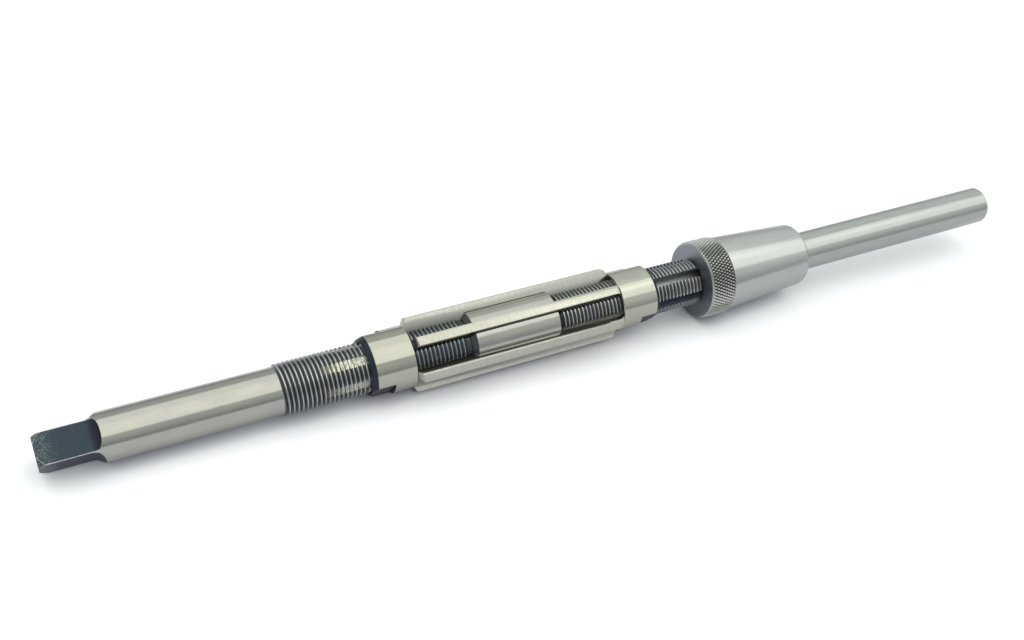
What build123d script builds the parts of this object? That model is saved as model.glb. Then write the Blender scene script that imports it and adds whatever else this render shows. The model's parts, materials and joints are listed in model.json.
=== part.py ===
"""Adjustable hand reamer with a sliding guide bush, lying on a flat surface.

A steel body carries six blades in sloping slots. Two nuts with conical faces hold the blades
between them: turned along the body together, they slide the blades up or down the slopes and so
set the cutting diameter. A tapered bush with a knurled ring slides on the long pilot.

Millimetres. Each piece is first made about the tool's own axis, along +X from the driving square
(station 0) to the pilot's end, and is then laid down: +Z is up, and the origin is on the surface
below the middle of the tool.
"""
from build123d import *
from math import acos, asin, atan, cos, degrees, hypot, radians, sin, sqrt, tan
import os

# Driving square
square_across = 7.7          # over two opposite flats
square_length = 14.4         # end of the shank to where the flats' run-out would end
square_cutter_radius = 3.2   # run-out of the flats
square_turn = -28.0          # degrees, flats against the first blade
shank_end_chamfer = 1.85     # radial
shank_end_chamfer_length = 2.2

# Body, from the square to the end of the pilot
shank_diameter = 11.9
shank_length = 55.4
thread_diameter = 13.0
thread_chamfer = 0.45
rear_thread_length = 48.0
middle_diameter = 15.0
middle_length = 23.5
middle_chamfer = 1.2
neck_diameter = 11.8         # thread relief on both sides of the middle
rear_neck_length = 1.2
front_neck_length = 1.4
front_thread_length = 44.3
front_thread_chamfer = 1.2
front_thread_chamfer_angle = 35.0
pilot_diameter = 11.0
pilot_length = 108.1
pilot_chamfer = 0.5

# Blades and their slots
blade_count = 6
blade_width = 2.4
cutting_diameter = 19.6      # over the lands, as set
land_length = 57.1
land_distance = 90.0         # square end to the land's rear end
end_bevel = 60.0             # degrees from the axis, on the blade ends and inside the nuts
margin_width = 0.5           # cylindrical strip behind the cutting edge
relief_angle = 8.5           # degrees, behind the margin
lead_length = 1.0            # tapered entry at the front end of the land
lead_angle = 20.0
slot_slope = 1.6             # degrees, deeper toward the pilot
slot_distance = 72.5         # square end to where the slot's floor begins
slot_start_depth = 0.59      # below the thread's crests, where the floor begins
slot_cutter_radius = 35.0
slot_overrun = 1.5           # slot floor past the front thread, before the cutter lifts
side_clearance = 0.03        # blade to each slot wall
floor_clearance = 0.03       # blade to the slot floor

# Nuts
nut_diameter = 16.1
nut_length = 11.5
nut_lip = 0.3                # wall left outside the conical recess
nut_lip_edge = 0.15          # broken outer edge of that wall
nut_chamfer = 0.9            # radial, on the outward end
nut_chamfer_length = 1.15
nut_bore_chamfer = 0.15
nut_flat_across = 14.0
nut_flat_length = 5.7
nut_flat_turn = -24.5        # degrees, flats against the first blade
thread_clearance = 0.05      # nut bore to thread, radial
cone_clearance = 0.04        # nut cone to blade end, along the axis

# Guide bush
ring_diameter = 21.8
ring_length = 7.8
ring_front_round = 1.0
ring_rear_chamfer = 0.5
cone_large_diameter = 20.95
cone_small_diameter = 17.65
bush_length = 34.8
bush_rear_round = 1.0
bore_clearance = 0.04        # bush bore to pilot, radial
bore_chamfer = 0.3
bush_seat_gap = 0.03         # bush face to the end of the front thread

# Cutters run this far past the metal that they cut
overcut = 1.5

# Stations along the axis
rear_neck_start = shank_length + rear_thread_length
middle_start = rear_neck_start + rear_neck_length + middle_chamfer
middle_end = middle_start + middle_length
front_thread_start = middle_end + front_neck_length
front_thread_end = front_thread_start + front_thread_length
body_end = front_thread_end + pilot_length
land_end = land_distance + land_length
bush_start = front_thread_end + bush_seat_gap

# Radii that more than one piece uses
shank_radius = shank_diameter / 2
thread_radius = thread_diameter / 2
land_radius = cutting_diameter / 2
nut_bore_radius = thread_radius + thread_clearance
lip_radius = nut_diameter / 2 - nut_lip
bevel_run = 1 / tan(radians(end_bevel))   # axial run of the bevel for 1 mm of radius
slope_run = tan(radians(slot_slope))

# The conical recess meets the blade bevel, so it places each nut
rear_nut_face = land_distance - (land_radius - lip_radius) * bevel_run - cone_clearance
front_nut_face = land_end + (land_radius - lip_radius) * bevel_run + cone_clearance

# Cross-section of the land at its full height, about the middle of the blade
edge_height = sqrt(land_radius ** 2 - (blade_width / 2) ** 2)
margin_side = margin_width - blade_width / 2
margin_height = sqrt(land_radius ** 2 - margin_side ** 2)
heel_height = margin_height - (blade_width - margin_width) * tan(radians(relief_angle))

# The tool rests on the rounded front edge of the ring and on the rear ends of its two lowest
# blades: on the cutting edge of one and the heel of the next. The lean makes these equally low.
blade_turn = 360 / blade_count
next_heel_across = heel_height * sin(radians(blade_turn)) - blade_width / 2 * cos(radians(blade_turn))
next_heel_down = heel_height * cos(radians(blade_turn)) + blade_width / 2 * sin(radians(blade_turn))
blade_lean = degrees(atan((edge_height - next_heel_down) / (next_heel_across - blade_width / 2)))
blades_down = edge_height * cos(radians(blade_lean)) + blade_width / 2 * sin(radians(blade_lean))
round_station = bush_start + ring_front_round
round_down = ring_diameter / 2 - ring_front_round
rest_slope = atan((round_down - blades_down) / (round_station - land_distance))
rest_reach = hypot(round_station - land_distance, round_down - blades_down)
rest_tilt = degrees(rest_slope + asin(ring_front_round / rest_reach))
rest_lift = (round_down * cos(radians(rest_tilt)) + ring_front_round
             - round_station * sin(radians(rest_tilt)))
rear_corner_radius = shank_radius - shank_end_chamfer
front_corner_radius = pilot_diameter / 2 - pilot_chamfer
rest_middle = (body_end * cos(radians(rest_tilt))
               + (front_corner_radius - rear_corner_radius) * sin(radians(rest_tilt))) / 2


def slot_floor(station):
    """Radius of the slot floor at a station."""
    return thread_radius - slot_start_depth - (station - slot_distance) * slope_run


def turned(points):
    """Solid turned about the tool's axis from an outline of (station, radius) points."""
    outline = make_face(Plane.XZ * Polyline(*points, close=True))
    return revolve(outline, Axis.X, 360)


def laid_down(piece):
    """Lean, tilt and lift a piece from the tool's axis to where the tool lies."""
    placed = Rot(0, -rest_tilt, 0) * Rot(-blade_lean, 0, 0) * piece
    return Pos(-rest_middle, 0, rest_lift) * placed


def body_blank():
    """Shank, two threads, plain middle and pilot, turned from one bar."""
    neck = neck_diameter / 2
    middle = middle_diameter / 2
    pilot = pilot_diameter / 2
    end_radius = thread_radius - front_thread_chamfer * tan(radians(front_thread_chamfer_angle))
    return turned([
        (0, 0), (0, rear_corner_radius), (shank_end_chamfer_length, shank_radius),
        (shank_length, shank_radius),
        (shank_length + thread_chamfer, thread_radius),
        (rear_neck_start - thread_chamfer, thread_radius),
        (rear_neck_start, neck),
        (rear_neck_start + rear_neck_length, neck),
        (rear_neck_start + rear_neck_length, middle - middle_chamfer),
        (middle_start, middle), (middle_end, middle),
        (middle_end, neck), (front_thread_start - thread_chamfer, neck),
        (front_thread_start, thread_radius),
        (front_thread_end - front_thread_chamfer, thread_radius), (front_thread_end, end_radius),
        (front_thread_end, pilot), (body_end - pilot_chamfer, pilot),
        (body_end, front_corner_radius), (body_end, 0),
    ])


def square_cutter():
    """Metal milled away above one flat of the driving square."""
    flat = square_across / 2
    corner = (square_length - square_cutter_radius, flat + square_cutter_radius)
    above = corner[1] + overcut
    start = (-overcut, flat)
    floor = Line(start, (corner[0], flat))
    fillet_arc = CenterArc(corner, square_cutter_radius, 270, 90)
    rest = Polyline((square_length, corner[1]), (square_length, above), (-overcut, above), start)
    profile = make_face(Plane.XZ * (floor + fillet_arc + rest))
    return extrude(profile, amount=shank_diameter, both=True)


def slot_cutter():
    """Path of the disc cutter that made one blade slot: plunge, sloping floor, then the lift-out."""
    slope = radians(slot_slope)
    over = middle_diameter / 2 + overcut
    floor_end_station = front_thread_end + slot_overrun
    floor_start = (slot_distance, slot_floor(slot_distance))
    floor_end = (floor_end_station, slot_floor(floor_end_station))
    rise = (slot_cutter_radius * sin(slope), slot_cutter_radius * cos(slope))
    plunge_center = (floor_start[0] + rise[0], floor_start[1] + rise[1])
    lift_center = (floor_end[0] + rise[0], floor_end[1] + rise[1])
    plunge_angle = degrees(acos((plunge_center[1] - over) / slot_cutter_radius)) - slot_slope
    lift_angle = degrees(acos((lift_center[1] - over) / slot_cutter_radius)) + slot_slope
    plunge = CenterArc(plunge_center, slot_cutter_radius, 270 - slot_slope - plunge_angle, plunge_angle)
    floor = Line(floor_start, floor_end)
    lift_out = CenterArc(lift_center, slot_cutter_radius, 270 - slot_slope, lift_angle)
    top = Line(lift_out @ 1, plunge @ 0)
    profile = make_face(Plane.XZ * (plunge + floor + lift_out + top))
    return extrude(profile, amount=blade_width / 2 + side_clearance, both=True)


def make_body():
    """The one-piece body: square, shank, threads, middle, slots and pilot."""
    body = body_blank()
    for quarter in range(4):
        body -= Rot(square_turn + 90 * quarter, 0, 0) * square_cutter()
    for k in range(blade_count):
        body -= Rot(blade_turn * k, 0, 0) * slot_cutter()
    return body


def ground_envelope():
    """Shape that the whole set of blades is ground to: conical ends, lands and a tapered lead."""
    lead_drop = lead_length * tan(radians(lead_angle))
    return turned([
        (land_distance - land_radius * bevel_run, 0), (land_distance, land_radius),
        (land_end - lead_length, land_radius),
        (land_end + lead_drop * bevel_run, land_radius - lead_drop),
        (land_end + land_radius * bevel_run, 0),
    ])


def make_blade(k):
    """One blade: parallel sides, sloping foot, conical ends, ground land with relief behind it."""
    foot_lift = floor_clearance / cos(radians(slot_slope))
    rear = land_distance - land_radius
    front = land_end + land_radius
    outline = make_face(Plane.XZ * Polyline(
        (rear, slot_floor(rear) + foot_lift), (rear, cutting_diameter),
        (front, cutting_diameter), (front, slot_floor(front) + foot_lift), close=True))
    blade = extrude(outline, amount=blade_width / 2, both=True) & ground_envelope()
    heel = Box(2 * body_end, 2 * blade_width, land_radius,
               align=(Align.CENTER, Align.MIN, Align.MIN))
    blade -= Pos(0, margin_side, margin_height) * Rot(-relief_angle, 0, 0) * heel
    return Rot(blade_turn * k, 0, 0) * blade


def make_nut(face, outward):
    """One nut: bore over the thread, conical recess against the blades, two wrench flats."""
    radius = nut_diameter / 2
    cone_depth = (lip_radius - nut_bore_radius) * bevel_run
    far = face + outward * nut_length
    nut = turned([
        (face + outward * cone_depth, nut_bore_radius), (face, lip_radius),
        (face, radius - nut_lip_edge), (face + outward * nut_lip_edge, radius),
        (far - outward * nut_chamfer_length, radius), (far, radius - nut_chamfer),
        (far, nut_bore_radius + nut_bore_chamfer),
        (far - outward * nut_bore_chamfer, nut_bore_radius),
    ])
    flat_middle = far - outward * nut_flat_length / 2
    cutter = Box(nut_flat_length, nut_diameter, nut_diameter,
                 align=(Align.CENTER, Align.CENTER, Align.MIN))
    for side in (0, 180):
        nut -= Rot(nut_flat_turn + side, 0, 0) * Pos(flat_middle, 0, nut_flat_across / 2) * cutter
    return nut


def make_guide_bush():
    """The bush: ring that takes the knurl, then a long shallow cone with a rounded rear edge."""
    ring = ring_diameter / 2
    bore = pilot_diameter / 2 + bore_clearance
    large = cone_large_diameter / 2
    small = cone_small_diameter / 2
    start = bush_start
    end = start + bush_length
    taper = (large - small) / (bush_length - ring_length)
    round_start = (end - bush_rear_round, small + bush_rear_round * taper)
    face = Line((start, bore + bore_chamfer), (start, round_down))
    front_edge = CenterArc((round_station, round_down), ring_front_round, 180, -90)
    outside = Polyline(
        (round_station, ring), (start + ring_length - ring_rear_chamfer, ring),
        (start + ring_length, large), round_start)
    edge = TangentArc(round_start, (end, small - bush_rear_round), tangent=(1, -taper))
    back = Polyline(
        (end, small - bush_rear_round), (end, bore + bore_chamfer), (end - bore_chamfer, bore),
        (start + bore_chamfer, bore), (start, bore + bore_chamfer))
    return revolve(make_face(Plane.XZ * (face + front_edge + outside + edge + back)), Axis.X, 360)


pieces = {
    "body": make_body(),
    "rear_nut": make_nut(rear_nut_face, -1),
    "front_nut": make_nut(front_nut_face, 1),
    "guide_bush": make_guide_bush(),
}
for k in range(blade_count):
    pieces[f"blade_{k + 1}"] = make_blade(k)

os.makedirs("parts", exist_ok=True)
for name, piece in pieces.items():
    export_step(laid_down(piece), f"parts/{name}.step")

print("lean", round(blade_lean, 4), "tilt", round(rest_tilt, 4))
print("lift", round(rest_lift, 4), "middle", round(rest_middle, 4))
print("rear nut", round(rear_nut_face - nut_length, 3), "to", round(rear_nut_face, 3))
print("front nut", round(front_nut_face, 3), "to", round(front_nut_face + nut_length, 3))
print("slot floor at the front thread's end", round(slot_floor(front_thread_end), 3))
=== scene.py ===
import json
from math import atan2, cos, hypot, pi, radians, sin, tan

import bmesh
import bpy
from mathutils import Matrix, Vector


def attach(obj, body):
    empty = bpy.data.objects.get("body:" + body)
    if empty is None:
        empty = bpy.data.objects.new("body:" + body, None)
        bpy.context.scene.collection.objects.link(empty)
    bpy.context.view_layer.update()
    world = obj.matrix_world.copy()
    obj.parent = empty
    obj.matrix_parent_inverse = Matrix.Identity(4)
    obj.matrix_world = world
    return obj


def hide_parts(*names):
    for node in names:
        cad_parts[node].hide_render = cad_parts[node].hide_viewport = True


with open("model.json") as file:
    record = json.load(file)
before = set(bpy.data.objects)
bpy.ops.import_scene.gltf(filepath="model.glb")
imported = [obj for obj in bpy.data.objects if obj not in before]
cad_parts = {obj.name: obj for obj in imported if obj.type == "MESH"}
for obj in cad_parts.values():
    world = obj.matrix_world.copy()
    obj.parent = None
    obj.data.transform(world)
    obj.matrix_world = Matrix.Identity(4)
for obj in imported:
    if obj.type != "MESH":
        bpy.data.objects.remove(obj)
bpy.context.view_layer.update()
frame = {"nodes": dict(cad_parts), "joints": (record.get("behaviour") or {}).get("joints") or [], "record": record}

# Body
# One bar of tool steel: driving square, ground shank, two screw threads with a plain middle
# between them, and the ground pilot. It is turned and ground first, then the threads are cut,
# and then six sloping slots and the four flats of the square are milled.

MM = 0.001
mounts = {mount["name"]: mount for mount in frame["record"]["mounts"]}
slides = {joint["child"]: Vector(joint["axis"]) for joint in frame["joints"]}

along = Vector(mounts["pilot"]["axis"]).normalized()
first_blade_up = slides["blade_1"] - along * slides["blade_1"].dot(along)
first_blade_up.normalize()
sideways = first_blade_up.cross(along)
tool_to_world = Matrix.Translation(Vector(mounts["drive_square"]["pos_m"])) @ Matrix(
    (along, sideways, first_blade_up)).transposed().to_4x4()


def turned(name, outline, around=180):
    """Mesh turned about the tool's axis from (station, radius) points in millimetres, in order."""
    mesh = bpy.data.meshes.new(name)
    shape = bmesh.new()
    rings = []
    for station, radius in outline:
        if radius == 0:
            rings.append([shape.verts.new((station * MM, 0, 0))])
        else:
            rings.append([shape.verts.new((station * MM, radius * MM * cos(2 * pi * k / around),
                                           radius * MM * sin(2 * pi * k / around)))
                          for k in range(around)])
    pairs = list(zip(rings, rings[1:]))
    if len(rings[0]) > 1:
        pairs.append((rings[-1], rings[0]))
    for low, high in pairs:
        for k in range(around):
            corners = []
            for ring, index in ((low, k), (low, k + 1), (high, k + 1), (high, k)):
                corner = ring[index % len(ring)]
                if corner not in corners:
                    corners.append(corner)
            if len(corners) > 2:
                shape.faces.new(corners)
    bmesh.ops.recalc_face_normals(shape, faces=shape.faces)
    shape.to_mesh(mesh)
    shape.free()
    piece = bpy.data.objects.new(name, mesh)
    bpy.context.collection.objects.link(piece)
    return piece


def milling_cut(outline, width, angle):
    """Closed cutter: an outline of (station, height) points as wide as the cut, about the axis."""
    mesh = bpy.data.meshes.new("cut")
    shape = bmesh.new()
    sides = []
    for y in (-width / 2, width / 2):
        sides.append([shape.verts.new((s * MM, y * MM, z * MM)) for s, z in outline])
    for side in sides:
        shape.faces.new(side)
    for k in range(len(outline)):
        n = (k + 1) % len(outline)
        shape.faces.new((sides[0][k], sides[0][n], sides[1][n], sides[1][k]))
    bmesh.ops.recalc_face_normals(shape, faces=shape.faces)
    bmesh.ops.rotate(shape, verts=shape.verts, matrix=Matrix.Rotation(angle, 3, "X"))
    shape.to_mesh(mesh)
    shape.free()
    cutter = bpy.data.objects.new("cut", mesh)
    bpy.context.collection.objects.link(cutter)
    return cutter


def arc(center, radius, start, end, steps=14):
    """Points of an arc, with its angles in degrees."""
    turn = [radians(start + (end - start) * k / steps) for k in range(steps + 1)]
    return [(center[0] + radius * cos(t), center[1] + radius * sin(t)) for t in turn]


def combine(piece, others, operation):
    """Cut others from the piece, or join or intersect them with it, and drop the others."""
    for other in others:
        step = piece.modifiers.new("step", "BOOLEAN")
        step.operation = operation
        step.solver = "MANIFOLD"
        step.object = other
    evaluated = piece.evaluated_get(bpy.context.evaluated_depsgraph_get())
    result = bpy.data.meshes.new_from_object(evaluated)
    piece.modifiers.clear()
    piece.data = result
    for other in others:
        bpy.data.objects.remove(other)


def finish_mesh(piece, sharp=28):
    """Lay the mesh down where the tool lies, weld it, and shade it smooth between sharp edges."""
    shape = bmesh.new()
    shape.from_mesh(piece.data)
    bmesh.ops.remove_doubles(shape, verts=shape.verts, dist=0.0005 * MM)
    bmesh.ops.dissolve_degenerate(shape, edges=shape.edges, dist=0.0005 * MM)
    shape.to_mesh(piece.data)
    shape.free()
    piece.data.transform(tool_to_world)
    piece.data.shade_smooth()
    piece.data.set_sharp_from_angle(angle=radians(sharp))


def maths(tree, operation, first, second=None, third=None):
    """A Math node: each operand is a socket or a number."""
    node = tree.nodes.new("ShaderNodeMath")
    node.operation = operation
    for socket, value in zip(node.inputs, (first, second, third)):
        if isinstance(value, (int, float)):
            socket.default_value = value
        elif value is not None:
            tree.links.new(value, socket)
    return node.outputs[0]


def geometry_tree(name, numbers, counts):
    """Empty geometry tree with named inputs; returns it, its inputs and the position's parts."""
    tree = bpy.data.node_groups.new(name, "GeometryNodeTree")
    tree.interface.new_socket("Geometry", in_out="OUTPUT", socket_type="NodeSocketGeometry")
    for inputs, kind in ((numbers, "Float"), (counts, "Int"), (["Material"], "Material")):
        for label in inputs:
            tree.interface.new_socket(label, in_out="INPUT", socket_type="NodeSocket" + kind)
    place = tree.nodes.new("GeometryNodeInputPosition")
    split = tree.nodes.new("ShaderNodeSeparateXYZ")
    tree.links.new(place.outputs[0], split.inputs[0])
    return tree, tree.nodes.new("NodeGroupInput").outputs, split.outputs


def wrap_round_tool(tree, flat, station, radius, angle, weld_gap, material):
    """Wrap points round the tool's axis, weld them, and put them out as painted plain mesh."""
    join = tree.nodes.new("ShaderNodeCombineXYZ")
    tree.links.new(station, join.inputs[0])
    tree.links.new(maths(tree, "MULTIPLY", radius, maths(tree, "COSINE", angle)), join.inputs[1])
    tree.links.new(maths(tree, "MULTIPLY", radius, maths(tree, "SINE", angle)), join.inputs[2])
    wrap = tree.nodes.new("GeometryNodeSetPosition")
    tree.links.new(flat, wrap.inputs["Geometry"])
    tree.links.new(join.outputs[0], wrap.inputs["Position"])
    weld = tree.nodes.new("GeometryNodeMergeByDistance")
    weld.inputs["Distance"].default_value = weld_gap
    tree.links.new(wrap.outputs[0], weld.inputs["Geometry"])
    realize = tree.nodes.new("GeometryNodeRealizeInstances")
    tree.links.new(weld.outputs[0], realize.inputs[0])
    paint = tree.nodes.new("GeometryNodeSetMaterial")
    tree.links.new(realize.outputs[0], paint.inputs["Geometry"])
    tree.links.new(material, paint.inputs["Material"])
    out = tree.nodes.new("NodeGroupOutput")
    tree.links.new(paint.outputs[0], out.inputs[0])


def thread_groove_tree():
    """Closed helical groove: a three-cornered section that fades out at both ends."""
    tree, given, part = geometry_tree(
        "thread_groove", ("Start", "Length", "Pitch", "Radius", "Depth", "Flank Run", "Over"),
        ["Steps"])
    grid = tree.nodes.new("GeometryNodeMeshGrid")
    grid.inputs["Size X"].default_value = 1
    grid.inputs["Size Y"].default_value = 1
    # Across the groove: its three corners, and the first again to close it.
    grid.inputs["Vertices Y"].default_value = 4
    tree.links.new(given["Steps"], grid.inputs["Vertices X"])
    path = maths(tree, "ADD", part[0], 0.5)
    corner = maths(tree, "ROUND", maths(tree, "MULTIPLY", maths(tree, "ADD", part[1], 0.5), 3))
    turns = maths(tree, "DIVIDE", given["Length"], given["Pitch"])
    from_end = maths(tree, "MINIMUM", path, maths(tree, "SUBTRACT", 1, path))
    turns_from_end = maths(tree, "MULTIPLY", from_end, turns)
    fade = maths(tree, "MINIMUM", maths(tree, "MULTIPLY", turns_from_end, 2.5), 1)
    at_root = maths(tree, "COMPARE", corner, 1, 0.1)
    after = maths(tree, "COMPARE", corner, 2, 0.1)
    sign = maths(tree, "SUBTRACT", maths(tree, "MULTIPLY", after, 2), 1)
    height = maths(tree, "ADD", given["Depth"], given["Over"])
    half = maths(tree, "MULTIPLY", height, given["Flank Run"])
    off_root = maths(tree, "SUBTRACT", 1, at_root)
    across = maths(tree, "MULTIPLY", maths(tree, "MULTIPLY", sign, half), off_root)
    rise = maths(tree, "SUBTRACT", given["Over"], maths(tree, "MULTIPLY", at_root, height))
    centre = maths(tree, "MULTIPLY_ADD", path, given["Length"], given["Start"])
    station = maths(tree, "ADD", centre, maths(tree, "MULTIPLY", across, fade))
    radius = maths(tree, "ADD", given["Radius"], maths(tree, "MULTIPLY", rise, fade))
    angle = maths(tree, "MULTIPLY", maths(tree, "MULTIPLY", path, turns), 2 * pi)
    wrap_round_tool(tree, grid.outputs["Mesh"], station, radius, angle, 0.001 * MM,
                    given["Material"])
    return tree


def grown(name, tree, values):
    """Run a node tree with named input values and keep its result as a plain mesh."""
    seed_mesh = bpy.data.meshes.new(name)
    piece = bpy.data.objects.new(name, seed_mesh)
    bpy.context.collection.objects.link(piece)
    maker = piece.modifiers.new("maker", "NODES")
    maker.node_group = tree
    for item in tree.interface.items_tree:
        if item.in_out == "INPUT" and item.name in values:
            maker[item.identifier] = values[item.name]
    evaluated = piece.evaluated_get(bpy.context.evaluated_depsgraph_get())
    piece.data = bpy.data.meshes.new_from_object(evaluated)
    piece.modifiers.clear()
    shape = bmesh.new()
    shape.from_mesh(piece.data)
    bmesh.ops.recalc_face_normals(shape, faces=shape.faces)
    shape.to_mesh(piece.data)
    shape.free()
    return piece


thread_pitch = 1.12
thread_depth = 0.76
thread_radius = 6.5
flank_angle = 30
steps_per_turn = 90
thread_tree = thread_groove_tree()


def thread_groove(start, end, material):
    """Cutter for a right-hand vee thread between two stations."""
    turns = (end - start) / thread_pitch
    return grown("thread_cut", thread_tree, {
        "Start": start * MM, "Length": (end - start) * MM, "Pitch": thread_pitch * MM,
        "Radius": thread_radius * MM, "Depth": thread_depth * MM, "Over": 0.08 * MM,
        "Flank Run": tan(radians(flank_angle)), "Steps": int(turns * steps_per_turn) + 1,
        "Material": material})


def tool_place_group():
    """Object coordinates as the station along the axis and the distance from it, in mm."""
    group = bpy.data.node_groups.new("place_on_tool", "ShaderNodeTree")
    for name in ("Station", "Radius"):
        group.interface.new_socket(name, in_out="OUTPUT", socket_type="NodeSocketFloat")
    group.interface.new_socket("Along", in_out="OUTPUT", socket_type="NodeSocketVector")
    given = group.nodes.new("ShaderNodeTexCoord")
    turn = group.nodes.new("ShaderNodeMapping")
    turn.vector_type = "POINT"
    inverse = tool_to_world.inverted()
    turn.inputs["Rotation"].default_value = inverse.to_euler()
    turn.inputs["Location"].default_value = inverse.translation / MM
    turn.inputs["Scale"].default_value = (1 / MM, 1 / MM, 1 / MM)
    group.links.new(given.outputs["Object"], turn.inputs["Vector"])
    split = group.nodes.new("ShaderNodeSeparateXYZ")
    group.links.new(turn.outputs[0], split.inputs[0])
    squares = [maths(group, "MULTIPLY", split.outputs[k], split.outputs[k]) for k in (1, 2)]
    radius = maths(group, "SQRT", maths(group, "ADD", squares[0], squares[1]))
    out = group.nodes.new("NodeGroupOutput")
    group.links.new(split.outputs[0], out.inputs["Station"])
    group.links.new(radius, out.inputs["Radius"])
    group.links.new(turn.outputs[0], out.inputs["Along"])
    return group


place_on_tool = tool_place_group()


def stretched(tree, vector, factors):
    """Vector multiplied part by part, which draws a texture out along or round the tool."""
    node = tree.nodes.new("ShaderNodeVectorMath")
    node.operation = "MULTIPLY"
    node.inputs[1].default_value = factors
    tree.links.new(vector, node.inputs[0])
    return node.outputs[0]


def noise(tree, vector, scale, detail, roughness=0.5):
    """Noise Texture read at a vector; the scale is a number or a socket."""
    node = tree.nodes.new("ShaderNodeTexNoise")
    node.inputs["Detail"].default_value = detail
    node.inputs["Roughness"].default_value = roughness
    tree.links.new(vector, node.inputs["Vector"])
    if isinstance(scale, (int, float)):
        node.inputs["Scale"].default_value = scale
    else:
        tree.links.new(scale, node.inputs["Scale"])
    return node.outputs[0]


def bands(tree, value, scale):
    """Noise Texture in one dimension, for rings and cutter marks."""
    node = tree.nodes.new("ShaderNodeTexNoise")
    node.noise_dimensions = "1D"
    node.inputs["Scale"].default_value = scale
    tree.links.new(value, node.inputs["W"])
    return node.outputs[0]


def turned_grain_group():
    """Marks left by turning or grinding round the axis: fine rings and slow cloudy patches."""
    group = bpy.data.node_groups.new("turned_grain", "ShaderNodeTree")
    group.interface.new_socket("Fineness", in_out="INPUT", socket_type="NodeSocketFloat")
    for name in ("Rings", "Clouds"):
        group.interface.new_socket(name, in_out="OUTPUT", socket_type="NodeSocketFloat")
    fineness = group.nodes.new("NodeGroupInput").outputs["Fineness"]
    place = group.nodes.new("ShaderNodeGroup")
    place.node_tree = place_on_tool
    round_tool = stretched(group, place.outputs["Along"], (1, 0.035, 0.035))
    along_tool = stretched(group, place.outputs["Along"], (0.4, 1, 1))
    out = group.nodes.new("NodeGroupOutput")
    group.links.new(noise(group, round_tool, fineness, 4, 0.7), out.inputs["Rings"])
    group.links.new(noise(group, along_tool, 0.35, 7, 0.68), out.inputs["Clouds"])
    return group


turned_grain = turned_grain_group()


def new_steel(name, roughness=0.3, fineness=9.0):
    """A metal material with the place and grain groups in it; returns its parts."""
    material = bpy.data.materials.new(name)
    material.use_nodes = True
    tree = material.node_tree
    shader = tree.nodes["Principled BSDF"]
    shader.inputs["Metallic"].default_value = 1.0
    shader.inputs["Roughness"].default_value = roughness
    shader.inputs["Anisotropic"].default_value = 0.7
    stretch = tree.nodes.new("ShaderNodeCombineXYZ")
    for socket, value in zip(stretch.inputs, along):
        socket.default_value = value
    tree.links.new(stretch.outputs[0], shader.inputs["Tangent"])
    place = tree.nodes.new("ShaderNodeGroup")
    place.node_tree = place_on_tool
    grain = tree.nodes.new("ShaderNodeGroup")
    grain.node_tree = turned_grain
    grain.inputs["Fineness"].default_value = fineness
    return material, tree, shader, place.outputs, grain.outputs


def ramp(tree, value, low, high, low_color, high_color):
    """Colour that goes from one to the other as a value goes from low to high."""
    scale = tree.nodes.new("ShaderNodeMapRange")
    tree.links.new(value, scale.inputs["Value"])
    scale.inputs["From Min"].default_value = low
    scale.inputs["From Max"].default_value = high
    mix = tree.nodes.new("ShaderNodeMix")
    mix.data_type = "RGBA"
    tree.links.new(scale.outputs[0], mix.inputs["Factor"])
    for socket, color in ((mix.inputs[6], low_color), (mix.inputs[7], high_color)):
        if isinstance(color, (tuple, list)):
            socket.default_value = (*color, 1)
        else:
            tree.links.new(color, socket)
    return mix.outputs[2]


def level(tree, value, low, high, to_low, to_high):
    """Number that goes from one to the other as a value goes from low to high."""
    scale = tree.nodes.new("ShaderNodeMapRange")
    tree.links.new(value, scale.inputs["Value"])
    for name, number in zip(("From Min", "From Max", "To Min", "To Max"),
                            (low, high, to_low, to_high)):
        scale.inputs[name].default_value = number
    return scale.outputs[0]


def grooved(tree, shader, height, strength, distance):
    """Feed a height to the shader's normal through a Bump node."""
    bump = tree.nodes.new("ShaderNodeBump")
    bump.inputs["Strength"].default_value = strength
    bump.inputs["Distance"].default_value = distance * MM
    tree.links.new(height, bump.inputs["Height"])
    tree.links.new(bump.outputs[0], shader.inputs["Normal"])


def turned_finish(tree, shader, grain, smooth, rough, bump):
    """Let turning marks and cloudy patches vary the roughness and the surface's height."""
    uneven = maths(tree, "MULTIPLY", maths(tree, "ADD", grain["Clouds"], grain["Rings"]), 0.5)
    tree.links.new(level(tree, uneven, 0.35, 0.65, smooth, rough), shader.inputs["Roughness"])
    grooved(tree, shader, uneven, bump, 0.03)


def ground_steel():
    """Cylindrically ground bright steel: warm on the shank and middle, cooler on the pilot."""
    material, tree, shader, place, grain = new_steel("ground_steel")
    rings, clouds = grain["Rings"], grain["Clouds"]
    tone = ramp(tree, rings, 0.3, 0.7, (0.345, 0.35, 0.315), (0.38, 0.385, 0.345))
    tone = ramp(tree, clouds, 0.38, 0.62, tone, (0.40, 0.40, 0.345))
    cool = ramp(tree, clouds, 0.38, 0.62, (0.355, 0.37, 0.35), (0.385, 0.395, 0.36))
    tone = ramp(tree, place["Station"], 140, 200, tone, cool)
    tree.links.new(tone, shader.inputs["Base Color"])
    turned_finish(tree, shader, grain, 0.16, 0.27, 0.2)
    return material


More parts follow.
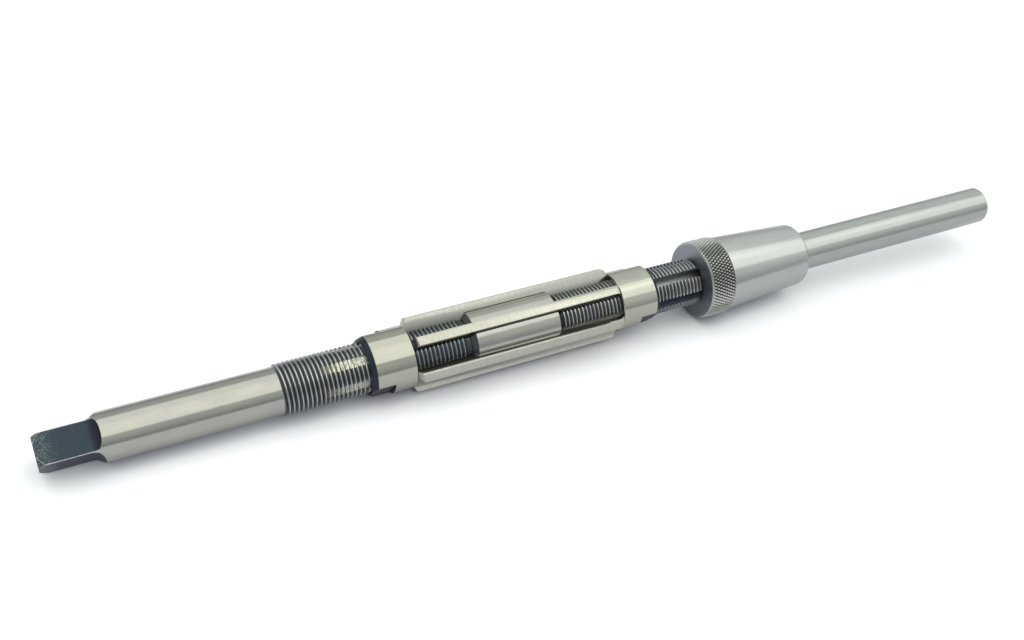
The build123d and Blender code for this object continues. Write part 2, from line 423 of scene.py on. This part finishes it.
def thread_steel():
    """Cut thread: bright crests over roots darkened as painted shade, and painted shade over the stretch among the
    blades between rear nut and middle.
    """
    material, tree, shader, place, grain = new_steel("thread_steel")
    station, clouds = place["Station"], grain["Clouds"]
    # Painted shade: between rear nut and middle, among the blades, the crests are darker and the roots bluer.
    dull_and_shaded = maths(tree, "MULTIPLY", level(tree, station, 88, 90, 0, 1),
                 level(tree, station, 104, 106, 1, 0))
    root = ramp(tree, dull_and_shaded, 0, 1, (0.21, 0.222, 0.225), (0.21, 0.235, 0.255))
    crest = ramp(tree, dull_and_shaded, 0, 1, (0.47, 0.475, 0.445), (0.29, 0.31, 0.31))
    # Painted shade: the roots are darker than the crests.
    shade = ramp(tree, place["Radius"], thread_radius - 0.2 * thread_depth,
                 thread_radius - 0.01, root, crest)
    shade = ramp(tree, clouds, 0.45, 0.75, shade, root)
    tree.links.new(shade, shader.inputs["Base Color"])
    tree.links.new(level(tree, clouds, 0.3, 0.7, 0.28, 0.42), shader.inputs["Roughness"])
    return material


front_thread_start, front_thread_end = 130.7, 175.0
slot_width = 2.46
slot_slope = radians(1.6)
slot_start = 72.5
slot_start_radius = 5.91
slot_disc = 35.0
disc_enters, disc_leaves = 248, 304
floor_end = front_thread_end + 1.5
floor_end_radius = slot_start_radius - (floor_end - slot_start) * tan(slot_slope)


def slot_steel():
    """Milled slots: a dull cloudy floor, walls painted dark as shade, and bright and speckled where the cut runs
    out.
    """
    material, tree, shader, place, grain = new_steel("slot_steel")
    station = place["Station"]
    specks = noise(tree, place["Along"], 2.2, 4)
    worn = ramp(tree, specks, 0.4, 0.62, (0.27, 0.275, 0.235), (0.55, 0.55, 0.47))
    dull_and_shaded = ramp(tree, grain["Clouds"], 0.3, 0.7, (0.18, 0.195, 0.18), (0.24, 0.25, 0.235))
    floor = level(tree, station, slot_start, floor_end, slot_start_radius, floor_end_radius)
    # Painted shade: the walls, from station 79 to 84 on, are dark navy and less metallic.
    wall = level(tree, maths(tree, "SUBTRACT", place["Radius"], floor), 0.25, 0.5, 0, 1)
    wall = maths(tree, "MULTIPLY", wall, level(tree, station, 79, 84, 0, 1))
    dull_and_shaded = ramp(tree, wall, 0, 1, dull_and_shaded, (0.10, 0.12, 0.165))
    tree.links.new(ramp(tree, station, 76, 79, worn, dull_and_shaded), shader.inputs["Base Color"])
    tree.links.new(level(tree, wall, 0, 1, 1.0, 0.3), shader.inputs["Metallic"])
    tree.links.new(level(tree, specks, 0.3, 0.7, 0.44, 0.32), shader.inputs["Roughness"])
    grooved(tree, shader, specks, 0.4, 0.03)
    return material


square_turn = 28
square_flat = 3.85
square_runout_end = 14.4
square_runout = 3.2


def blued_steel():
    """Milled square under a dark blue-grey oxide: specks near the end, and edges worn bright."""
    material, tree, shader, place, _ = new_steel("blued_steel")
    station = place["Station"]
    specks = noise(tree, place["Along"], 3.2, 5, 0.7)
    marks = bands(tree, station, 5.0)
    wear = maths(tree, "ADD", specks, level(tree, station, 2.5, 5.5, 0.08, -0.08))
    oxide = ramp(tree, marks, 0.3, 0.7, (0.027, 0.041, 0.052), (0.037, 0.053, 0.067))
    oxide = ramp(tree, station, 11.6, 12.6, oxide, (0.024, 0.028, 0.046))
    shade = ramp(tree, wear, 0.55, 0.70, oxide, (0.115, 0.14, 0.145))
    turn = tree.nodes.new("ShaderNodeMapping")
    turn.inputs["Rotation"].default_value = (radians(square_turn), 0, 0)
    tree.links.new(place["Along"], turn.inputs["Vector"])
    across = tree.nodes.new("ShaderNodeSeparateXYZ")
    tree.links.new(turn.outputs[0], across.inputs[0])
    sides = [maths(tree, "ABSOLUTE", across.outputs[k]) for k in (1, 2)]
    on_corner = maths(tree, "SUBTRACT", maths(tree, "MINIMUM", *sides), 3.66)
    on_flat = maths(tree, "GREATER_THAN", maths(tree, "MAXIMUM", *sides), square_flat - 0.05)
    end_cone = maths(tree, "ADD", maths(tree, "MULTIPLY", station, 0.84), 4.0)
    on_end = maths(tree, "SUBTRACT", place["Radius"], end_cone)
    on_end = maths(tree, "MULTIPLY", on_end, on_flat)
    on_rim = maths(tree, "SUBTRACT", place["Radius"], 5.8)
    edge = maths(tree, "MAXIMUM", maths(tree, "MAXIMUM", on_corner, on_end), on_rim)
    edge = maths(tree, "ADD", edge, level(tree, specks, 0.3, 0.7, -0.06, 0.06))
    worn = level(tree, edge, 0.0, 0.12, 0.0, 1.0)
    shade = ramp(tree, worn, 0, 1, shade, (0.42, 0.44, 0.43))
    tree.links.new(shade, shader.inputs["Base Color"])
    tree.links.new(level(tree, wear, 0.45, 0.7, 0.5, 0.34), shader.inputs["Roughness"])
    shader.inputs["Metallic"].default_value = 0.75
    grooved(tree, shader, specks, 0.2, 0.03)
    return material


def dark_steel():
    """Dark turned steel: blue-grey in the necks, darker on the nuts' outer faces and flats."""
    material, tree, shader, place, grain = new_steel("dark_steel", 0.45)
    rings, clouds = grain["Rings"], grain["Clouds"]
    nut_end = ramp(tree, clouds, 0.3, 0.7, (0.022, 0.027, 0.043), (0.034, 0.04, 0.058))
    neck = ramp(tree, clouds, 0.3, 0.7, (0.06, 0.072, 0.078), (0.10, 0.115, 0.12))
    from_middle = maths(tree, "ABSOLUTE", maths(tree, "SUBTRACT", place["Station"], middle_centre))
    shade = ramp(tree, from_middle, 15, 16, neck, nut_end)
    tree.links.new(shade, shader.inputs["Base Color"])
    tree.links.new(level(tree, rings, 0.3, 0.7, 0.38, 0.52), shader.inputs["Roughness"])
    shader.inputs["Metallic"].default_value = 0.8
    return material


shank_radius = 5.95
end_chamfer = 1.85
end_chamfer_length = 2.2
shank_end = 55.4
rear_thread_end = 103.4
thread_chamfer = 0.45
front_chamfer_length, front_chamfer_radius = 1.2, 5.66
middle_cone_start, middle_cone_radius = 104.6, 6.3
middle_start, middle_end = 105.8, 129.3
middle_centre = 117.5
middle_radius = 7.5
neck_radius = 5.9
pilot_radius = 5.5
pilot_chamfer = 0.5
tool_end = 283.1
slot_first, slot_last = 66, 196
cutter_width = 14
past_bar = 10
past_end = 1.5

steel_of_body = [ground_steel(), thread_steel(), slot_steel(), blued_steel(), dark_steel()]
GROUND, THREAD, SLOT, BLUED, DARK = range(5)

body = turned("reamer_bar", [
    (0, 0), (0, shank_radius - end_chamfer), (end_chamfer_length, shank_radius),
    (shank_end, shank_radius), (shank_end + thread_chamfer, thread_radius),
    (rear_thread_end - thread_chamfer, thread_radius), (rear_thread_end, neck_radius),
    (middle_cone_start, neck_radius), (middle_cone_start, middle_cone_radius),
    (middle_start, middle_radius), (middle_end, middle_radius), (middle_end, neck_radius),
    (front_thread_start - thread_chamfer, neck_radius), (front_thread_start, thread_radius),
    (front_thread_end - front_chamfer_length, thread_radius),
    (front_thread_end, front_chamfer_radius), (front_thread_end, pilot_radius),
    (tool_end - pilot_chamfer, pilot_radius), (tool_end, pilot_radius - pilot_chamfer),
    (tool_end, 0)])

cuts = [thread_groove(shank_end - 0.1, rear_thread_end + 0.3, steel_of_body[THREAD]),
        thread_groove(front_thread_start - 0.5, front_thread_end + 0.3, steel_of_body[THREAD])]
combine(body, cuts, "DIFFERENCE")


def disc_centre(station, radius):
    """Where the slotting disc's centre is when it touches the sloping floor at a point."""
    return station + slot_disc * sin(slot_slope), radius + slot_disc * cos(slot_slope)


floor_angle = 270 - 180 * slot_slope / pi
slot_outline = arc(disc_centre(slot_start, slot_start_radius), slot_disc,
                   disc_enters, floor_angle)
slot_outline += arc(disc_centre(floor_end, floor_end_radius), slot_disc,
                    floor_angle, disc_leaves)
cuts = [milling_cut(slot_outline, slot_width, k * pi / 3) for k in range(6)]
combine(body, cuts, "DIFFERENCE")

runout = arc((square_runout_end - square_runout, square_flat + square_runout),
             square_runout, 270, 360, 24)
square_outline = [(-past_end, past_bar), (-past_end, square_flat), *runout,
                  (square_runout_end, past_bar)]
cuts = [milling_cut(square_outline, cutter_width, radians(90 * k - square_turn))
        for k in range(4)]
combine(body, cuts, "DIFFERENCE")


def in_slot(face):
    """True for the walls, floor and ends of the six blade slots."""
    station, y, z = face.center / MM
    turn = round(atan2(y, z) / (pi / 3)) * pi / 3
    off = abs(y * cos(turn) - z * sin(turn))
    sideways_normal = abs(face.normal.y * cos(turn) - face.normal.z * sin(turn))
    on_wall = abs(off - slot_width / 2) < 0.02 and sideways_normal > 0.97
    on_floor = off < slot_width / 2 - 0.02 and hypot(y, z) < thread_radius - 0.01
    return slot_first < station < slot_last and (on_wall or on_floor)


body.data.materials.clear()
for steel in steel_of_body:
    body.data.materials.append(steel)
for face in body.data.polygons:
    station, reach = face.center.x / MM, face.center.yz.length / MM
    in_rear_thread = shank_end < station < rear_thread_end
    in_front_thread = front_thread_start - 0.5 < station < front_thread_end
    in_rear_neck = rear_thread_end - 0.01 < station < middle_start - 0.01
    in_front_neck = middle_end - 0.01 < station < front_thread_start - 0.5
    milled_or_end = reach < shank_radius - 0.02 or station < end_chamfer_length
    if station < square_runout_end and milled_or_end:
        face.material_index = BLUED
    elif in_slot(face):
        face.material_index = SLOT
    elif in_rear_neck or in_front_neck:
        face.material_index = DARK
    elif in_rear_thread or in_front_thread:
        face.material_index = THREAD
    else:
        face.material_index = GROUND
finish_mesh(body)
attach(body, "reamer_body")
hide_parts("body")

# Adjusting nuts
# Two steel rings threaded on the body, each with a shallow conical recess that holds the blade
# ends and two flats for a wrench. They are fine turned, and their flats and outer faces are blued.

nut_radius = 8.05
nut_length = 11.5
nut_chamfer = 0.9
nut_chamfer_length = 1.15
nut_bore = 6.55
nut_lip_radius = 7.75
nut_cone_depth = (nut_lip_radius - nut_bore) / tan(radians(60))
nut_edge = 0.15
nut_flat_length = 5.7
nut_flat = 7.0
nut_flat_turn = -24.5
nut_cutter_top = 9.0
rear_nut_face, front_nut_face = 88.776, 148.324


def nut_steel():
    """Fine turned satin steel of the nuts' outsides."""
    material, tree, shader, _, grain = new_steel("nut_steel", fineness=6.0)
    tone = ramp(tree, grain["Rings"], 0.3, 0.7, (0.37, 0.373, 0.315), (0.405, 0.408, 0.345))
    tone = ramp(tree, grain["Clouds"], 0.38, 0.62, tone, (0.41, 0.41, 0.34))
    tree.links.new(tone, shader.inputs["Base Color"])
    turned_finish(tree, shader, grain, 0.12, 0.22, 0.4)
    return material


turned_nut_steel = nut_steel()


def adjusting_nut(name, piece_name, face, outward):
    """One nut with its recess at the face and its flats on the outward half."""
    far = face + outward * nut_length
    nut = turned(piece_name, [
        (face + outward * nut_cone_depth, nut_bore), (face, nut_lip_radius),
        (face, nut_radius - nut_edge), (face + outward * nut_edge, nut_radius),
        (far - outward * nut_chamfer_length, nut_radius), (far, nut_radius - nut_chamfer),
        (far, nut_bore + nut_edge), (far - outward * nut_edge, nut_bore)])
    near = far - outward * nut_flat_length
    beyond = far + outward
    flat = [(near, nut_flat), (beyond, nut_flat), (beyond, nut_cutter_top),
            (near, nut_cutter_top)]
    cuts = [milling_cut(flat, cutter_width, radians(nut_flat_turn + side)) for side in (0, 180)]
    combine(nut, cuts, "DIFFERENCE")
    nut.data.materials.clear()
    nut.data.materials.append(turned_nut_steel)
    nut.data.materials.append(steel_of_body[DARK])
    for polygon in nut.data.polygons:
        reach = polygon.center.yz.length / MM
        outer_face = polygon.normal.x * outward > 0.3
        off_rounds = nut_bore + 0.1 < reach < nut_radius - 0.02
        on_flat = off_rounds and abs(polygon.normal.x) < 0.01
        polygon.material_index = 1 if outer_face or on_flat else 0
    finish_mesh(nut)
    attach(nut, name)
    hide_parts(name)


adjusting_nut("rear_nut", "rear_adjusting_nut", rear_nut_face, -1)
adjusting_nut("front_nut", "front_adjusting_nut", front_nut_face, 1)

# Blades
# Six straight bars of high-speed steel, ground flat on both sides, with a sloping foot, conical
# ends and a relieved land. They lie loose in the slots, held by the nuts' cones. They keep their
# true shape from the frame and get broken edges.

broken_edge = 0.025
land_start = 9.15


def blade_steel(name, side_tone):
    """Matt ground high-speed steel: a bright land, and sides darkened toward the body as painted shade."""
    material, tree, shader, place, _ = new_steel(name, 0.25)
    radius = place["Radius"]
    marks = noise(tree, stretched(tree, place["Along"], (1.0, 0.12, 0.12)), 2.6, 4, 0.65)
    land = ramp(tree, marks, 0.3, 0.7, (0.395, 0.393, 0.333), (0.465, 0.462, 0.393))
    side = ramp(tree, marks, 0.3, 0.7, [0.87 * part for part in side_tone], side_tone)
    # Painted shade: the sides darken toward the body, down between the blades.
    side = ramp(tree, radius, 6.5, 7.9, [0.52 * part for part in side_tone], side)
    from_joint = maths(tree, "ABSOLUTE", maths(tree, "SUBTRACT", radius, middle_radius + 0.03))
    from_middle = maths(tree, "SUBTRACT", place["Station"], middle_centre)
    from_middle = maths(tree, "ABSOLUTE", from_middle)
    off_line = maths(tree, "MAXIMUM", from_joint, level(tree, from_middle, 11.6, 12.2, 0, 1))
    side = ramp(tree, off_line, 0.04, 0.16, (0.04, 0.042, 0.04), side)
    shade = ramp(tree, radius, land_start, land_start + 0.15, side, land)
    tree.links.new(shade, shader.inputs["Base Color"])
    tree.links.new(level(tree, marks, 0.3, 0.7, 0.22, 0.14), shader.inputs["Roughness"])
    grooved(tree, shader, marks, 0.2, 0.03)
    return material


plain_blade_steel = blade_steel("blade_steel", (0.45, 0.45, 0.395))
# Blade 2's sides are painted near black as shade and dark reflection.
shaded_blade_steel = blade_steel("shaded_blade_steel", (0.09, 0.094, 0.092))
for k in range(1, 7):
    node = frame["nodes"][f"blade_{k}"]
    shape = bmesh.new()
    shape.from_mesh(node.data)
    bmesh.ops.remove_doubles(shape, verts=shape.verts, dist=0.001 * MM)
    bmesh.ops.dissolve_limit(shape, angle_limit=radians(0.6), verts=shape.verts, edges=shape.edges)
    edges = [edge for edge in shape.edges
             if edge.is_manifold and edge.calc_face_angle() > radians(20)]
    bmesh.ops.bevel(shape, geom=edges, offset=broken_edge * MM, segments=2, affect="EDGES",
                    profile=0.5)
    mesh = bpy.data.meshes.new(f"ground_blade_{k}")
    shape.to_mesh(mesh)
    shape.free()
    blade = bpy.data.objects.new(f"ground_blade_{k}", mesh)
    bpy.context.collection.objects.link(blade)
    # Blade 2 takes the painted shade and reflection on its sides.
    mesh.materials.append(shaded_blade_steel if k == 2 else plain_blade_steel)
    mesh.shade_smooth()
    mesh.set_sharp_from_angle(angle=radians(28))
    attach(blade, f"blade_{k}")
    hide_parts(f"blade_{k}")

# Guide bush
# A steel bush turned from one piece: a ring with a diamond knurl for the fingers, then a long
# shallow cone that centres in the mouth of a bore. It slides on the pilot.

ring_radius = 10.9
ring_length = 7.8
bush_front = 175.03
bush_length = 34.8
ring_end = bush_front + ring_length
ring_middle = bush_front + ring_length / 2
bush_end = bush_front + bush_length
bush_bore = 5.54
bush_rounding = 1.0
cone_large, cone_small = 10.475, 8.825
knurls_around = 72
knurl_depth = 0.4
knurl_root = ring_radius - knurl_depth
knurl_angle = 30.0
knurl_flat_top = 0.32
ring_blank_sides = 248


def knurl_tree():
    """Lattice of flat-topped diamonds wrapped round the ring."""
    tree, given, part = geometry_tree(
        "diamond_knurl", ("Start", "Row Pitch", "Radius", "Depth", "Flat Top"),
        ("Around", "Rows"))
    diamond = tree.nodes.new("GeometryNodeMeshCone")
    diamond.inputs["Vertices"].default_value = 4
    diamond.inputs["Radius Bottom"].default_value = 0.5
    diamond.inputs["Depth"].default_value = 1
    tree.links.new(maths(tree, "MULTIPLY", given["Flat Top"], 0.5), diamond.inputs["Radius Top"])
    open_diamond = tree.nodes.new("GeometryNodeDeleteGeometry")
    open_diamond.domain = "FACE"
    tree.links.new(diamond.outputs["Mesh"], open_diamond.inputs["Geometry"])
    tree.links.new(diamond.outputs["Bottom"], open_diamond.inputs["Selection"])
    together = tree.nodes.new("GeometryNodeJoinGeometry")
    for shift in (0.0, 0.5):
        grid = tree.nodes.new("GeometryNodeMeshGrid")
        tree.links.new(maths(tree, "SUBTRACT", given["Around"], 1), grid.inputs["Size X"])
        tree.links.new(maths(tree, "SUBTRACT", given["Rows"], 1), grid.inputs["Size Y"])
        tree.links.new(given["Around"], grid.inputs["Vertices X"])
        tree.links.new(given["Rows"], grid.inputs["Vertices Y"])
        shifted = tree.nodes.new("GeometryNodeSetPosition")
        shifted.inputs["Offset"].default_value = (shift, shift, 0)
        tree.links.new(grid.outputs["Mesh"], shifted.inputs["Geometry"])
        copies = tree.nodes.new("GeometryNodeInstanceOnPoints")
        tree.links.new(shifted.outputs[0], copies.inputs["Points"])
        tree.links.new(open_diamond.outputs[0], copies.inputs["Instance"])
        tree.links.new(copies.outputs[0], together.inputs[0])
    realize = tree.nodes.new("GeometryNodeRealizeInstances")
    tree.links.new(together.outputs[0], realize.inputs[0])
    angle = maths(tree, "DIVIDE", maths(tree, "MULTIPLY", part[0], 2 * pi), given["Around"])
    station = maths(tree, "MULTIPLY_ADD", part[1], given["Row Pitch"], given["Start"])
    root = maths(tree, "SUBTRACT", given["Radius"], given["Depth"])
    radius = maths(tree, "ADD", root, maths(tree, "MULTIPLY", part[2], given["Depth"]))
    wrap_round_tool(tree, realize.outputs[0], station, radius, angle, 0.005 * MM,
                    given["Material"])
    return tree


def bush_steel():
    """Satin turned steel; the knurl's grooves are painted darker than its points, as shade."""
    material, tree, shader, place, grain = new_steel("bush_steel", fineness=5.0)
    station, radius = place["Station"], place["Radius"]
    tone = ramp(tree, grain["Rings"], 0.3, 0.7, (0.393, 0.404, 0.377), (0.435, 0.447, 0.418))
    in_ring = maths(tree, "MULTIPLY", level(tree, station, ring_end - 0.3, ring_end, 1, 0),
                    level(tree, station, bush_front + 0.5, bush_front + 0.8, 0, 1))
    # Painted shade: the knurl's grooves are darkened.
    deep = level(tree, radius, knurl_root, ring_radius - 0.05, 1, 0)
    outer = level(tree, radius, knurl_root - 0.3, knurl_root - 0.1, 0, 1)
    groove = maths(tree, "MULTIPLY", maths(tree, "MULTIPLY", in_ring, deep), outer)
    tone = ramp(tree, groove, 0, 1, tone, (0.14, 0.147, 0.14))
    tree.links.new(tone, shader.inputs["Base Color"])
    turned_finish(tree, shader, grain, 0.19, 0.30, 0.2)
    return material


def shaded_face_steel():
    """Fine faced steel of the bush's front, duller and cooler than its outside, and toned darker as painted shade.
    """
    material, tree, shader, place, _ = new_steel("shaded_face_steel", 0.36)
    rings = bands(tree, place["Radius"], 6.0)
    # Painted shade: the face is toned darker than the bush's outside.
    tone = ramp(tree, rings, 0.3, 0.7, (0.215, 0.23, 0.245), (0.275, 0.29, 0.31))
    tree.links.new(tone, shader.inputs["Base Color"])
    return material


satin_bush_steel = bush_steel()
row_pitch = 2 * pi * ring_radius / knurls_around / tan(radians(knurl_angle))
knurl = grown("knurl", knurl_tree(), {
    "Around": knurls_around, "Rows": int(ring_length / row_pitch) + 4,
    "Row Pitch": row_pitch * MM, "Start": (ring_middle - row_pitch / 4) * MM,
    "Radius": ring_radius * MM, "Depth": knurl_depth * MM, "Flat Top": knurl_flat_top,
    "Material": satin_bush_steel})
shape = bmesh.new()
shape.from_mesh(knurl.data)
for end in (-1, 1):
    rim = [edge for edge in shape.edges
           if edge.is_boundary and (edge.verts[0].co.x - ring_middle * MM) * end > 0]
    rim_station = sum((edge.verts[0].co.x for edge in rim), 0.0) / len(rim)
    hub = shape.verts.new((rim_station, 0, 0))
    for edge in rim:
        shape.faces.new((edge.verts[0], edge.verts[1], hub))
bmesh.ops.recalc_face_normals(shape, faces=shape.faces)
shape.to_mesh(knurl.data)
shape.free()

rounded_rim = arc((bush_front + bush_rounding, ring_radius - bush_rounding), bush_rounding,
                  180, 90, 8)
ring_blank = turned("ring_blank", [
    (bush_front, 0), *rounded_rim, (ring_end - 0.5, ring_radius), (ring_end, cone_large - 0.1),
    (ring_end, 0)], ring_blank_sides)
combine(knurl, [ring_blank], "INTERSECT")
taper = (cone_large - cone_small) / (bush_length - ring_length)
rounded_end = [(bush_end - bush_rounding + bush_rounding * sin(t),
                cone_small - bush_rounding + bush_rounding * cos(t) + taper * (1 - sin(t)))
               for t in [radians(9 * k) for k in range(11)]]
bush = turned("tapered_bush", [
    (bush_front + 2, 0), (bush_front + 2, ring_radius - 2.0), (ring_end - 2, cone_large - 0.4),
    (ring_end, cone_large), *rounded_end, (bush_end, 0)])
combine(bush, [knurl], "UNION")
bore = turned("bore", [
    (bush_front - 1, 0), (bush_front - 1, bush_bore + 1.3), (bush_front + 0.3, bush_bore),
    (bush_end - 0.3, bush_bore), (bush_end + 1, bush_bore + 1.3), (bush_end + 1, 0)])
combine(bush, [bore], "DIFFERENCE")
bush.data.materials.clear()
bush.data.materials.append(satin_bush_steel)
bush.data.materials.append(shaded_face_steel())
for face in bush.data.polygons:
    on_front = face.normal.x < -0.95 and face.center.x < (bush_front + 0.1) * MM
    face.material_index = 1 if on_front else 0
finish_mesh(bush, 20)
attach(bush, "guide_bush")
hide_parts("guide_bush")

# Floor, light and camera
# A plain pale floor under three soft lights in a pale room, seen from in front of the square's
# end. As on a photographer's table, the floor is washed out to white where it is seen directly,
# sends a little less light back, and darkens with a painted contact shadow only where the tool
# comes close to it.

floor_reach = 6.0
contact_reach = 6.0
floor_material = bpy.data.materials.new("pale_floor")
floor_material.use_nodes = True
floor_tree = floor_material.node_tree
floor_shader = floor_tree.nodes["Principled BSDF"]
contact_shadow = floor_tree.nodes.new("ShaderNodeAmbientOcclusion")
contact_shadow.inputs["Distance"].default_value = contact_reach * MM
path = floor_tree.nodes.new("ShaderNodeLightPath")
open_floor = ramp(floor_tree, path.outputs["Is Camera Ray"], 0, 1,
                  (0.77, 0.775, 0.84), (0.97, 0.98, 1.0))
# Painted contact shadow: the floor's colour darkens to lavender grey near the tool.
shaded = ramp(floor_tree, contact_shadow.outputs["AO"], 0.2, 0.64, (0.60, 0.61, 0.69), open_floor)
floor_tree.links.new(shaded, floor_shader.inputs["Base Color"])
floor_shader.inputs["Roughness"].default_value = 0.9
floor_shader.inputs["Specular IOR Level"].default_value = 0.1
floor_mesh = bpy.data.meshes.new("floor")
floor_mesh.from_pydata([(x * floor_reach, y * floor_reach, 0)
                        for x, y in ((-1, -1), (1, -1), (1, 1), (-1, 1))], [], [(0, 1, 2, 3)])
floor_mesh.materials.append(floor_material)
floor = bpy.data.objects.new("floor", floor_mesh)
bpy.context.collection.objects.link(floor)

lamp_height = 1.0


def soft_light(name, x, y, size, power, color):
    """A rectangular soft light that faces straight down."""
    lamp = bpy.data.lights.new(name, "AREA")
    lamp.shape = "RECTANGLE"
    lamp.size, lamp.size_y = size
    lamp.energy = power
    lamp.color = color
    holder = bpy.data.objects.new(name, lamp)
    holder.location = (x, y, lamp_height)
    holder.rotation_euler = Vector((0, 0, -1)).to_track_quat("-Z", "Y").to_euler()
    bpy.context.collection.objects.link(holder)


soft_light("overhead", -0.19, -0.46, (1.62, 1.20), 5.87, (1.0, 0.97, 0.915))
soft_light("overhead_right", 1.61, -0.43, (1.98, 1.14), 4.98, (1.0, 0.98, 0.94))
soft_light("rear_strip", -0.55, 0.495, (2.1, 0.71), 3.7, (1.0, 0.99, 0.95))

world = bpy.data.worlds.new("studio")
world.use_nodes = True
sky = world.node_tree
direction = sky.nodes.new("ShaderNodeTexCoord")
parts = sky.nodes.new("ShaderNodeSeparateXYZ")
sky.links.new(direction.outputs["Generated"], parts.inputs[0])
room = sky.nodes["Background"]
room_color = ramp(sky, parts.outputs["X"], 0.25, 0.55, (0.70, 0.73, 0.735), (1.04, 1.09, 1.10))
sky.links.new(room_color, room.inputs["Color"])
bright_spot = sky.nodes.new("ShaderNodeVectorMath")
bright_spot.operation = "DOT_PRODUCT"
bright_spot.inputs[1].default_value = Vector((0.465, -0.19, 0.865)).normalized()
sky.links.new(direction.outputs["Generated"], bright_spot.inputs[0])
toward_top = level(sky, parts.outputs["Z"], 0.0, 0.45, 0.5, 1.02)
in_spot = level(sky, bright_spot.outputs["Value"], 0.985, 1.0, 0.0, 0.58)
sky.links.new(maths(sky, "ADD", toward_top, in_spot), room.inputs["Strength"])
bpy.context.scene.world = world

# Where the camera stands and how it is turned, in the tool's own frame.
camera_right = Vector((0.8916888, -0.42231806, -0.16290652))
camera_up = Vector((0.23448591, 0.12312825, 0.96429031))
camera_back = Vector((-0.38717881, -0.89804615, 0.20881971))
camera_place = Vector((2.0717559, -271.42428783, 65.21515128)) * MM
focal_px = 1156.7
frame_width_px = 1024
camera_data = bpy.data.cameras.new("camera")
camera_data.sensor_width = 36
camera_data.lens = camera_data.sensor_width * focal_px / frame_width_px
camera_data.clip_start = 0.01
camera = bpy.data.objects.new("camera", camera_data)
turn = Matrix((camera_right, camera_up, camera_back)).transposed().to_4x4()
camera.matrix_world = tool_to_world @ Matrix.Translation(camera_place) @ turn
bpy.context.collection.objects.link(camera)
bpy.context.scene.camera = camera
bpy.context.scene.view_settings.view_transform = "Standard"
